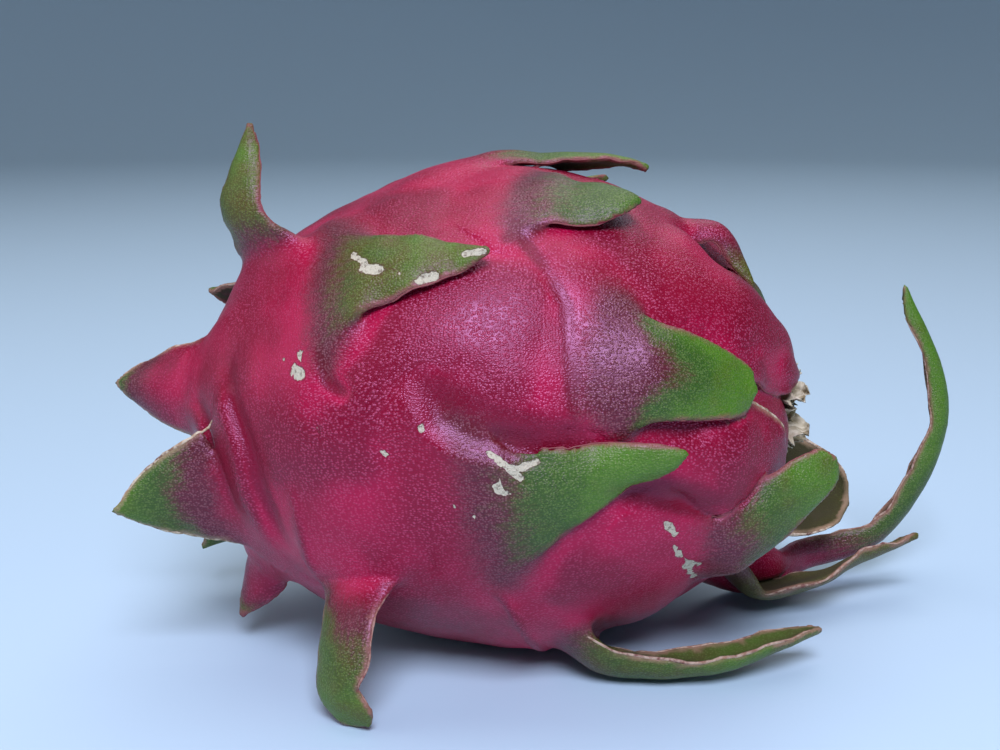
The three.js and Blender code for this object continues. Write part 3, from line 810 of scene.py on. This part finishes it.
def dressPeel(sheets):  # the thinned skin with its fine relief, and the values that its colours follow
    mesh = thinned(peelMesh(sheets), peelLook["triangles"])
    points, normals = pointsOf(mesh) / mm, normalsOf(mesh)
    near = nearestOnSheets(sheets, points)
    around = aroundOf(points[:, 1], points[:, 2] - axisHeight)
    skin = bodyDistance(points)
    ownSurface = smoothStep(-0.5, 0.3, np.abs(skin) - np.abs(near.away - near.depth))
    onSheet = near.away < near.depth + 1
    free = smoothStep(0.3, 0.45, near.along) * ownSurface
    scar, stalk = scarsOn(mesh, points), stalkOn(points)

    level = smoothStep(1.2, 3.2, np.abs(points[:, 2]))  # keeps the resting spot flat
    calm = level * (1 - 0.75 * smoothStep(0.3, 0.5, near.along) * onSheet)
    points += normals * reliefLift(points, calm, scar, stalk)[:, None]
    settle(mesh, points)
    neighbours = neighboursOf(mesh)
    folds, valley = creaseDepth(points[:, 0], around)
    rooted = smoothStep(0.36, 0.2, near.along) * smoothStep(5, 2, near.away - near.depth) * level
    rooted *= 1 - peelLook["foldKept"] * np.clip(np.abs(folds), 0, 1)
    points, sunkenShade = sinkRoots(mesh, points, rooted, neighbours)

    onBlade, (ripe, blush, olive) = tonesOf(near, ownSurface, onSheet, neighbours)
    downward = smoothStep(0.15, -0.55, normalsOf(mesh)[:, 2])
    kept = {
        # the valley depth and the crease mask place painted shade
        "ripe": ripe, "blush": blush, "olive": olive, "sunkenShade": sunkenShade, "scar": scar, "stalk": stalk,
        "inner": free * (near.side < 0), "onBlade": free, "creaseShade": valley * (np.abs(skin) < 3.5),
        "margin": free * smoothStep(0.9, 1.0, np.abs(near.across)),
        # the low, downward faces off the scales, where painted bounce light from the floor goes
        "under": downward * (1 - onBlade) * smoothStep(24, 8, points[:, 2]),
        "dry": perScale(near, "dry", 0), "inside": perScale(near, "inside", 0.5),
    }
    for key, numbers in kept.items():
        storeOn(mesh, key, numbers)
    flow = np.stack([near.along * 8, near.across * perScale(near, "wide", 0) / 2, near.which * 31.0], -1)
    storeOn(mesh, "flow", flow, "FLOAT_VECTOR")
    smoothShade(mesh)
    print("peel triangles:", sum(len(p.vertices) - 2 for p in mesh.polygons))
    return mesh


def newFinish(name, roughness, **fixed):
    material = bpy.data.materials.new(name)
    material.use_nodes = True
    tree = material.node_tree
    shader = next(n for n in tree.nodes if n.type == "BSDF_PRINCIPLED")
    shader.inputs["Roughness"].default_value = roughness
    for key, value in fixed.items():
        shader.inputs[key].default_value = value
    return material, tree, shader


def shadeMix(factor, a, b):
    tree = treeOf(factor, a, b)
    inputs = {key: value if isinstance(value, Value) else (*value, 1) for key,
              value in (("i6", a), ("i7", b))}
    return fromNode(tree, "ShaderNodeMix", {"data_type": "RGBA"}, output=2, i0=factor, **inputs)


def roughen(shader, strength, distance, height):
    tree = treeOf(height)
    bump = addNode(tree, "ShaderNodeBump", Strength=strength, Distance=distance, Height=height)
    tree.links.new(bump.outputs[0], shader.inputs["Normal"])


def paint(shader, name, value):
    shader.id_data.links.new(value.socket, shader.inputs[name])


def ramp(factor, low, high, start=0.0, end=1.0):
    return fromNode(treeOf(factor), "ShaderNodeMapRange", {"interpolation_type": "SMOOTHSTEP"},
                    i0=factor, i1=low, i2=high, i3=start, i4=end)


def attribute(tree, name, output="Fac"):
    return fromNode(tree, "ShaderNodeAttribute", {"attribute_name": name}, output=output)


def objectPlace(tree, scale=(1, 1, 1)):
    place = fromNode(tree, "ShaderNodeTexCoord", output="Object")
    return fromNode(tree, "ShaderNodeMapping", Vector=place, Scale=scale)


def grain(place, perMetre, detail=2.0, roughness=0.5):
    return fromNode(treeOf(place), "ShaderNodeTexNoise", Vector=place, Scale=perMetre, Detail=detail,
                    Roughness=roughness)


def dots(place, perMetre, randomness=0.8):
    return fromNode(treeOf(place), "ShaderNodeTexVoronoi", Vector=place, Scale=perMetre,
                    Randomness=randomness)


peelColours = {
    "deep": (0.225, 0.0002, 0.016), "flesh": (0.38, 0.0006, 0.036), "fleck": (0.68, 0.105, 0.21),
    # the crease colour is painted shade for the valleys; the under colour is painted bounce light from the
    # floor
    "creaseShade": (0.17, 0.0002, 0.012), "under": (0.42, 0.012, 0.062),
    "mauve": (0.090, 0.012, 0.015), "mauveFleck": (0.34, 0.145, 0.15),
    "green": (0.030, 0.090, 0.004), "bright": (0.062, 0.172, 0.002), "olive": (0.075, 0.068, 0.003),
    "greenFleck": (0.19, 0.29, 0.06),
    "innerPink": (0.27, 0.002, 0.035), "innerMauve": (0.14, 0.028, 0.050),
    # the olive of the scales' inner faces, darkened further as painted shade
    "innerOliveAndShade": (0.030, 0.034, 0.004),
    "rimPink": (0.28, 0.060, 0.075), "rimDry": (0.38, 0.25, 0.14),
    "cork": (0.50, 0.46, 0.32), "corkDark": (0.12, 0.085, 0.05), "stalk": (0.16, 0.11, 0.05),
}


def peelPattern(tree):  # the noises and stored values that the colours and the relief share
    place = objectPlace(tree)
    patch, fine = grain(place, 210), grain(place, 2600)
    streak = grain(attribute(tree, "flow", "Vector"), 1.5)
    patchy = patch - 0.5
    wander = patchy * 0.55 + (streak - 0.5) * 0.9 + (fine - 0.5) * 0.8
    ripe = attribute(tree, "ripe") + wander
    blush = ramp(wander * 0.35 + attribute(tree, "blush"), 0.15, 0.95)
    fleck = ramp(dots(objectPlace(tree, (0.7, 1, 1)), 2450), 0.52, 0.16)
    speck = ramp(dots(objectPlace(tree, (0.8, 1, 1)), 2800), 0.58, 0.2)
    strength = ramp(grain(place, 95, 1), 0.25, 0.75, 0.55, 1.0)
    # the flecks fade where shade falls, in the creases, on the scales' inner faces and on the low faces:
    # painted shade
    plain = calc("MAXIMUM", attribute(tree, "creaseShade"), attribute(tree, "inner") * 0.9)
    plain = calc("MAXIMUM", plain, attribute(tree, "under") * 0.6)
    fleck = fleck * (strength * (1.0 - plain))
    torn = attribute(tree, "scar") + (grain(place, 520, 3, 0.6) - 0.5) * 0.8
    return SimpleNamespace(
        place=place, patch=patch, patchy=patchy, fine=fine, streak=streak, ripe=ripe, blush=blush,
        fleck=fleck, speck=speck, torn=torn, scar=ramp(torn, 0.5, 0.58), greening=ramp(ripe, -0.6, 0.6))


def fleshColour(tree, on):  # crimson, with painted bounce light on the low, downward faces, painted shade in the valleys and creases, and pale flecks
    c = peelColours
    flesh = shadeMix(ramp(grain(on.place, 55), 0.36, 0.64), c["deep"], c["flesh"])
    # painted bounce light from the floor on the low, downward faces
    flesh = shadeMix(attribute(tree, "under"), flesh, c["under"])
    # painted shade where the roots fill a valley and along the creases
    deepest = calc("MAXIMUM", ramp(attribute(tree, "sunkenShade"), 0.02, 0.22, 0.0, 0.85),
                   ramp(attribute(tree, "creaseShade"), 0.12, 0.75))
    flesh = shadeMix(deepest, flesh, c["creaseShade"])
    return shadeMix(on.fleck * 0.46, flesh, c["fleck"])


def greenColour(tree, on):
    c = peelColours
    green = shadeMix(ramp(on.ripe, 0.6, 2.2), c["green"], c["bright"])
    green = shadeMix(ramp(attribute(tree, "olive") + on.patchy, 0.15, 0.85), green, c["olive"])
    return shadeMix(on.speck * 0.35, green, c["greenFleck"])


def innerColour(tree, on, green):  # the faces of the scales that look towards the body, whose dark olive is partly painted shade
    c = peelColours
    inner = shadeMix(ramp(on.patch, 0.42, 0.66), c["innerPink"], c["innerMauve"])
    inner = shadeMix(ramp(on.patchy * 0.8 + attribute(tree, "inside"), 0.3, 0.7), inner, c["innerOliveAndShade"])
    return shadeMix(ramp(on.ripe, 0.8, 2.2, 0.0, 0.5), inner, green)


def dryColours(tree, on, colour):  # worn rims, corky marks with a mauve halo, and the stalk's stub
    c = peelColours
    rim = shadeMix(attribute(tree, "dry"), c["rimPink"], c["rimDry"])
    worn = attribute(tree, "margin") * ramp(on.patch, 0.3, 0.6, 0.15, 0.7)
    colour = shadeMix(worn, colour, rim)
    crumbs = ramp(grain(on.place, 1500, 3, 0.6), 0.3, 0.5, 0.25)
    cork = shadeMix(crumbs, c["corkDark"], c["cork"])
    colour = shadeMix(ramp(on.torn, 0.36, 0.52, 0.0, 0.45), colour, c["mauve"])
    colour = shadeMix(on.scar, colour, cork)
    wood = shadeMix(grain(on.place, 900, 3), c["corkDark"], c["stalk"])
    return shadeMix(attribute(tree, "stalk"), colour, wood)


def peelRoughness(tree, on):
    wax = ramp(grain(on.place, 400, 3), 0.2, 0.8, 0.29, 0.41)
    corky = calc("MAXIMUM", on.scar, attribute(tree, "stalk"))
    return wax + corky * 0.4 + attribute(tree, "inner") * 0.45 + on.greening * 0.1


def peelRelief(tree, on):
    cracks = on.scar * grain(on.place, 1300, 3, 0.6)
    ribs = on.streak * attribute(tree, "onBlade")
    height = on.fleck * 0.9
    pores = grain(on.place, 420)
    for share, layer in ((0.15, on.fine), (0.3, on.speck), (2.5, cracks), (0.3, pores), (0.8, ribs)):
        height = height + layer * share
    return height


def peelFinish():
    material, tree, shader = newFinish("waxyPeel", 0.4, **{
        "Specular IOR Level": 0.66, "Specular Tint": (1.0, 0.54, 0.88, 1), "IOR": 1.45})
    on = peelPattern(tree)
    mauve = shadeMix(on.speck * 0.4, peelColours["mauve"], peelColours["mauveFleck"])
    green = greenColour(tree, on)
    colour = shadeMix(on.blush, fleshColour(tree, on), mauve)
    colour = shadeMix(on.greening, colour, green)
    colour = shadeMix(attribute(tree, "inner"), colour, innerColour(tree, on, green))
    paint(shader, "Base Color", dryColours(tree, on, colour))
    paint(shader, "Roughness", peelRoughness(tree, on))
    roughen(shader, 0.5, 0.0002, peelRelief(tree, on))
    return material


# a thin corky line along the edges of the scales

marginLook = {"radius": 0.14, "dryRadius": 0.36, "from": 0.34, "to": 0.97, "sides": 6, "outset": 0.38,
              "inside": 7 / 9, "ragged": 0.15, "float": 0.2}


def marginTree():
    tree, given, result = newTree("dryMargins", [
        ("Sides", "NodeSocketInt", 6), ("Ragged", "NodeSocketFloat", 0.0),
        ("Material", "NodeSocketMaterial", None)])
    lines = fromNode(tree, "GeometryNodeMeshToCurve", Mesh=given["Geometry"])
    ring = fromNode(tree, "GeometryNodeCurvePrimitiveCircle", Resolution=given["Sides"])
    position = fromNode(tree, "GeometryNodeInputPosition")
    crumbs = waves(position, 900.0, 2.0)
    size = named(tree, "rim") * (crumbs * 1.4 + 0.3)
    tubes = fromNode(tree, "GeometryNodeCurveToMesh", **{
        "Curve": lines, "Profile Curve": ring, "Scale": size, "Fill Caps": True})
    facing = fromNode(tree, "GeometryNodeInputNormal")
    push = (crumbs - 0.5) * given["Ragged"]
    return closeTree(tree, pushed(tubes, facing, push), given, result)


def ribOf(sheets, index, side, start):  # the points of one scale's sheet that lie in line, from root to tip
    along, across, which = (sheets["values"][:, k] for k in (1, 2, 3))
    own = np.nonzero((which.round() == index) & (np.abs(across - side) < 0.01) & (along > start)
                     & (along < marginLook["to"]))[0]
    return sheets["points"][own[np.argsort(along[own])]].astype(float)


def marginLines(sheets, skin):  # lines along both edges of every scale, with their radii
    tree = BVHTree.FromPolygons((pointsOf(skin) / mm).tolist(), [list(p.vertices) for p in skin.polygons])
    points, edges, rims, drys = [], [], [], []
    for index, scale in enumerate(scales):
        dry = scale.get("dry", 0)
        thick = mix(marginLook["radius"], marginLook["dryRadius"], dry)
        start = scale.get("rimFrom", marginLook["from"])
        for side in (-1, 1):
            line, inside = (ribOf(sheets, index, side * share, start) for share in (1, marginLook["inside"]))
            line = line + unit(line - inside) * marginLook["outset"]
            nearest = [tree.find_nearest(Vector(p)) for p in line]
            line = mix(np.array([spot[0] for spot in nearest]), line, marginLook["float"])
            onPeel = smoothStep(1.3, 0.5, np.array([spot[3] for spot in nearest]))
            first = len(points)
            points += list(line * mm)
            edges += [(first + k, first + k + 1) for k in range(len(line) - 1)]
            t = np.linspace(0, 1, len(line))
            rims += list(thick * onPeel * np.sin(np.pi * np.clip(t * 0.94 + 0.03, 0, 1)) ** 0.4 * mm)
            drys += [dry] * len(line)
    mesh = meshFrom("marginLines", points, edges=edges)
    storeOn(mesh, "rim", rims)
    storeOn(mesh, "dry", drys)
    return mesh


def buildMargins(sheets, skin, finish):
    source = addObject("marginLines", marginLines(sheets, skin))
    made = growMesh(source, marginTree(), {
        "Sides": marginLook["sides"], "Ragged": marginLook["ragged"] * mm, "Material": finish}, "dryMargins")
    bpy.data.objects.remove(source)
    smoothShade(made)
    piece = addObject("dryMargins", made)
    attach(piece, "root")
    return piece


marginColours = {"brown": (0.13, 0.05, 0.03), "tan": (0.36, 0.22, 0.12), "pale": (0.56, 0.46, 0.32),
                 "fresh": (0.24, 0.06, 0.06)}


def marginFinish():
    material, tree, shader = newFinish("dryMargin", 0.8)
    place = objectPlace(tree)
    c = marginColours
    brown = shadeMix(ramp(grain(place, 160), 0.35, 0.6), c["brown"], c["tan"])
    colour = shadeMix(ramp(grain(place, 1100, 3), 0.35, 0.65), brown, c["pale"])
    colour = shadeMix(attribute(tree, "dry"), c["fresh"], colour)
    paint(shader, "Base Color", colour)
    roughen(shader, 0.6, 0.0001, grain(place, 2500, 3))
    return material


# dry petals, set in rings on the floor of the flower end's hollow

flowerLook = {
    "floor": 49.4, "length": 7.6, "width": 8.5, "lean": 0.5, "crumple": 2.6, "seed": 11,
    "rings": [(0.8, 4, 3, 0.75), (2.8, 8, 4, 0.85), (5.2, 16, 6, 1.0), (6.2, 26, 7, 0.9)],
    "front": [  # place, heading and size of the petals that hang out towards the front
        ((50.6, -8, 50), (0.3, -0.9, -0.25), (0.55, 1, 1.35)),
        ((51.5, -8, 47.5), (0.45, -0.85, 0.0), (0.9, 1, 1.1)),
        ((51.5, -8, 44), (0.35, -0.8, -0.35), (0.8, 1, 1.2)),
        ((52, -6, 42), (0.5, -0.6, -0.5), (0.7, 1, 0.9)),
    ],
}


def petalMesh(rows=12, columns=10):  # a broad strip with a torn end, folded along its middle
    points, faces = [], []
    for face in (1, -1):
        for i in range(rows + 1):
            t = i / rows
            width = flowerLook["width"] * (0.5 + 0.5 * math.sin(math.pi * min(t * 0.75 + 0.1, 1))) / 2
            for j in range(columns + 1):
                v = 2 * j / columns - 1
                torn = 1 - 0.16 * v * v + 0.09 * math.sin(7 * v + 1) + 0.05 * math.sin(17 * v)
                fold = 0.8 * math.cos(math.pi * v * 1.6) * (0.3 + t) + 1.5 * t * t
                points.append((v * width, fold + face * 0.13, t * torn * flowerLook["length"]))
    row, sheet = columns + 1, (rows + 1) * (columns + 1)
    for i in range(rows):
        for j in range(columns):
            a = i * row + j
            faces.append((a, a + row, a + row + 1, a + 1))
            faces.append((sheet + a, sheet + a + 1, sheet + a + row + 1, sheet + a + row))
    rim = ([j for j in range(columns)] + [i * row + columns for i in range(rows)]
           + [rows * row + j for j in range(columns, 0, -1)] + [i * row for i in range(rows, 0, -1)])
    for a, b in zip(rim, rim[1:] + rim[:1]):
        faces.append((a, b, sheet + b, sheet + a))
    return meshFrom("petal", np.array(points) * mm, faces)


def flowerTree():
    tree, given, result = newTree("witheredFlower", [
        ("Petal", "NodeSocketObject", None), ("Crumple", "NodeSocketFloat", 0.0),
        ("Material", "NodeSocketMaterial", None)])
    petal = fromNode(tree, "GeometryNodeObjectInfo", output="Geometry", Object=given["Petal"])
    turn = fromNode(tree, "FunctionNodeEulerToRotation", Euler=namedVector(tree, "turn"))
    petals = fromNode(tree, "GeometryNodeInstanceOnPoints", Points=given["Geometry"], Instance=petal,
                      Rotation=turn, Scale=namedVector(tree, "size"))
    petals = fromNode(tree, "GeometryNodeRealizeInstances", Geometry=petals)
    position = fromNode(tree, "GeometryNodeInputPosition")
    folds = calcVector("SUBTRACT", waves(position, 240.0, 2.0, "Color"), (0.5, 0.5, 0.5))
    return closeTree(tree, pushed(petals, folds, given["Crumple"]), given, result)


def frameOf(heading, face):  # the turn that sets a petal's length along heading and its face near face
    face = (face - heading * face.dot(heading)).normalized()
    return Matrix((face.cross(heading), face, heading)).transposed()


def petalPlaces():  # a point for each petal, with its turn and its size
    random = np.random.default_rng(flowerLook["seed"])
    points, turns, sizes = [], [], []
    for ring, tilt, count, reach in flowerLook["rings"]:
        for k in range(count):
            spin = 2 * math.pi * (k + random.uniform(-0.25, 0.25)) / count
            tipped = math.radians(tilt + random.uniform(-8, 8))
            out = Vector((0, math.cos(spin), math.sin(spin)))
            heading = Vector((math.cos(tipped), -flowerLook["lean"], 0)) + out * math.sin(tipped)
            heading.normalize()
            whole = frameOf(heading, out) @ Matrix.Rotation(random.uniform(-0.3, 0.3), 3, "Z")
            points.append((flowerLook["floor"], out.y * ring, axisHeight + out.z * ring))
            turns.append(tuple(whole.to_euler()))
            sizes.append((random.uniform(0.8, 1.1), 1, reach * random.uniform(0.85, 1.05)))
    for place, heading, size in flowerLook["front"]:
        points.append(place)
        turns.append(tuple(frameOf(Vector(heading).normalized(), Vector((0.2, -1, 0.3))).to_euler()))
        sizes.append(size)
    mesh = meshFrom("petalPlaces", np.array(points) * mm)
    storeOn(mesh, "turn", turns, "FLOAT_VECTOR")
    storeOn(mesh, "size", sizes, "FLOAT_VECTOR")
    return mesh


def buildFlower(finish):
    places, petal = addObject("petalPlaces", petalPlaces()), addObject("petal", petalMesh())
    made = growMesh(places, flowerTree(), {
        "Petal": petal, "Crumple": flowerLook["crumple"] * mm, "Material": finish}, "witheredFlower")
    for used in (places, petal):
        bpy.data.objects.remove(used)
    smoothShade(made)
    piece = addObject("witheredFlower", made)
    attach(piece, "root")
    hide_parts("dried_flower")
    return piece


petalColours = {"dark": (0.17, 0.12, 0.05), "dry": (0.44, 0.38, 0.24), "pale": (0.62, 0.56, 0.40)}


def flowerFinish():
    material, tree, shader = newFinish("dryPetal", 0.85)
    place = objectPlace(tree)
    veins = grain(objectPlace(tree, (0.35, 1, 1)), 900, 3)
    c = petalColours
    dry = shadeMix(ramp(grain(place, 160), 0.35, 0.6), c["dark"], c["dry"])
    colour = shadeMix(ramp(veins, 0.35, 0.7), dry, c["pale"])
    paint(shader, "Base Color", colour)
    roughen(shader, 0.8, 0.0002, veins)
    return material


stageLook = {"floorRadius": 1.3, "curve": 0.9, "wall": 0.8, "colour": (0.48, 0.63, 0.71), "roughness": 0.7}


def buildStage():  # a pale floor that curves up all round
    profile = [(0, 0), (stageLook["floorRadius"], 0)]
    for k in range(1, 25):
        angle = math.pi / 2 * k / 24
        profile.append((stageLook["floorRadius"] + stageLook["curve"] * math.sin(angle),
                        stageLook["curve"] * (1 - math.cos(angle))))
    profile.append((profile[-1][0], profile[-1][1] + stageLook["wall"]))
    sides = 96
    turns = [2 * math.pi * j / sides for j in range(sides)]
    points = [(0, 0, 0)]
    for radius, height in profile[1:]:
        points += [(radius * math.cos(turn), radius * math.sin(turn), height) for turn in turns]
    faces = [(0, 1 + j, 1 + (j + 1) % sides) for j in range(sides)]
    for i in range(len(profile) - 2):
        for j in range(sides):
            a, b = 1 + i * sides + j, 1 + i * sides + (j + 1) % sides
            faces.append((a, a + sides, b + sides, b))
    floor = addObject("floor", meshFrom("floor", points, faces))
    smoothShade(floor.data)
    material, _, shader = newFinish("paleFloor", stageLook["roughness"])
    shader.inputs["Base Color"].default_value = (*stageLook["colour"], 1)
    floor.data.materials.append(material)


studioLook = {
    "sky": (0.86, 0.92, 1.0), "skyStrength": 0.14,
    "camera": (0.000192, -0.25583, 0.10868), "downward": 13, "view": 40,  # metres and degrees
    "aim": (0, 0, 0.045),
    "lights": {  # place, size, power and colour of each
        "keyLight": ((0.03, -0.61, 0.70), 0.38, 10.8, (0.74, 0.76, 1.0)),
        "topLight": ((0.0, 0.25, 0.95), 0.8, 4.2, (0.95, 0.93, 1.0)),
        "sideLight": ((-0.8, -0.1, 0.4), 0.5, 1.2, (0.9, 0.95, 1.0)),
        "backLight": ((0.4, 1.0, 1.0), 0.7, 1.8, (0.9, 0.93, 1.0)),
    },
}


def addLight(name, place, size, power, colour):
    light = bpy.data.lights.new(name, "AREA")
    light.size = size
    light.energy = power
    light.color = colour
    made = addObject(name, light)
    made.location = place
    made.rotation_euler = (Vector(studioLook["aim"]) - Vector(place)).to_track_quat("-Z", "Y").to_euler()


def buildStudio():
    world = bpy.data.worlds.new("studio")
    bpy.context.scene.world = world
    world.use_nodes = True
    background = world.node_tree.nodes["Background"]
    background.inputs[0].default_value = (*studioLook["sky"], 1)
    background.inputs[1].default_value = studioLook["skyStrength"]
    for name, light in studioLook["lights"].items():
        addLight(name, *light)
    camera = bpy.data.cameras.new("camera")
    camera.sensor_width = 36
    camera.lens = 18 / math.tan(math.radians(studioLook["view"] / 2))
    camera.clip_start = 0.01
    made = addObject("camera", camera)
    made.location = studioLook["camera"]
    made.rotation_euler = (math.radians(90 - studioLook["downward"]), 0, 0)
    bpy.context.scene.camera = made
    bpy.context.scene.view_settings.view_transform = "Standard"


# the pieces, in the order in which they depend on each other

started = time.time()
buildStage()
buildStudio()
print("stage set")
sheets = sweepSheets()
print("scales swept:", len(scales))
peel = addObject("peel", dressPeel(sheets))
peel.data.materials.clear()
peel.data.materials.append(peelFinish())
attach(peel, "root")
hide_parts("fruit")
print("peel grown, seconds:", round(time.time() - started))
buildMargins(sheets, peel.data, marginFinish())
print("margins laid")
buildFlower(flowerFinish())
print("flower set")
